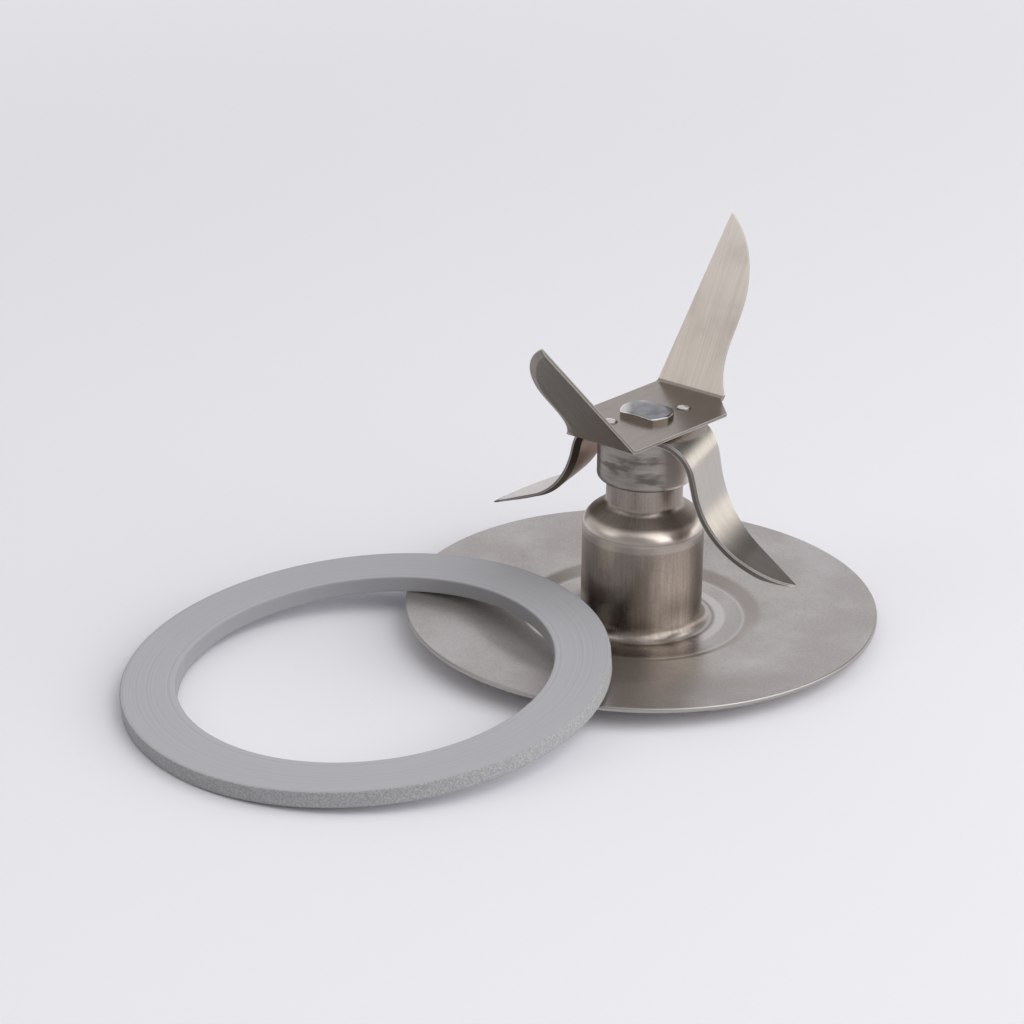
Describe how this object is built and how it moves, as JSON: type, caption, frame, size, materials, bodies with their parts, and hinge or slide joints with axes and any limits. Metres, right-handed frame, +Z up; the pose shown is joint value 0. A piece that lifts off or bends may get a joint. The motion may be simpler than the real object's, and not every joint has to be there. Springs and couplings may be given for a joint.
{
  "type": "blender blade assembly",
  "caption": "Crossed upper and lower cutting blades on a shaft that turns in the drawn bearing tower of a round steel base plate, with a flat grey sealing ring leaning on its rim.",
  "frame": {"origin": "on the shaft's axis, at the level of the underside of the base plate's pressed channel", "axes": "+Z up along the shaft's axis, -Y towards the viewer, +X to the viewer's right; the sealing ring lies towards -X and -Y"},
  "size_m": [0.0987, 0.0866, 0.0532],
  "materials": {
    "drawn_steel": "drawn stainless sheet, satin, with a faint brown tint on the tower",
    "blade_steel": "stainless strip brushed along its length",
    "collar_steel": "turned stainless, stained by use",
    "shaft_steel": "ground and polished stainless",
    "plated_steel": "plated pressed steel",
    "bronze": "sintered bronze, matt and oily",
    "felt": "oil-soaked felt",
    "black_rubber": "moulded rubber",
    "washer_plastic": "punched bearing plastic",
    "grey_rubber": "lathe-cut grey rubber, fine turning lines on the flats"
  },
  "bodies": {
    "base": {"base_plate": "drawn_steel", "upper_bushing": "bronze", "lower_bushing": "bronze", "oil_wick": "felt", "shaft_seal": "black_rubber", "top_thrust_washer": "washer_plastic", "bottom_thrust_washer": "washer_plastic", "bearing_retainer": "plated_steel", "sealing_ring": "grey_rubber"},
    "rotor": {"drive_shaft": "shaft_steel", "slinger_cap": "collar_steel", "spacer_collar": "collar_steel", "lower_blade": "blade_steel", "upper_blade": "blade_steel"}
  },
  "joints": [
    {"name": "blade_spin", "type": "hinge", "parent": "base", "child": "rotor", "pos_m": [0, 0, 0], "axis": [0, 0, 1], "continuous": true}
  ]
}
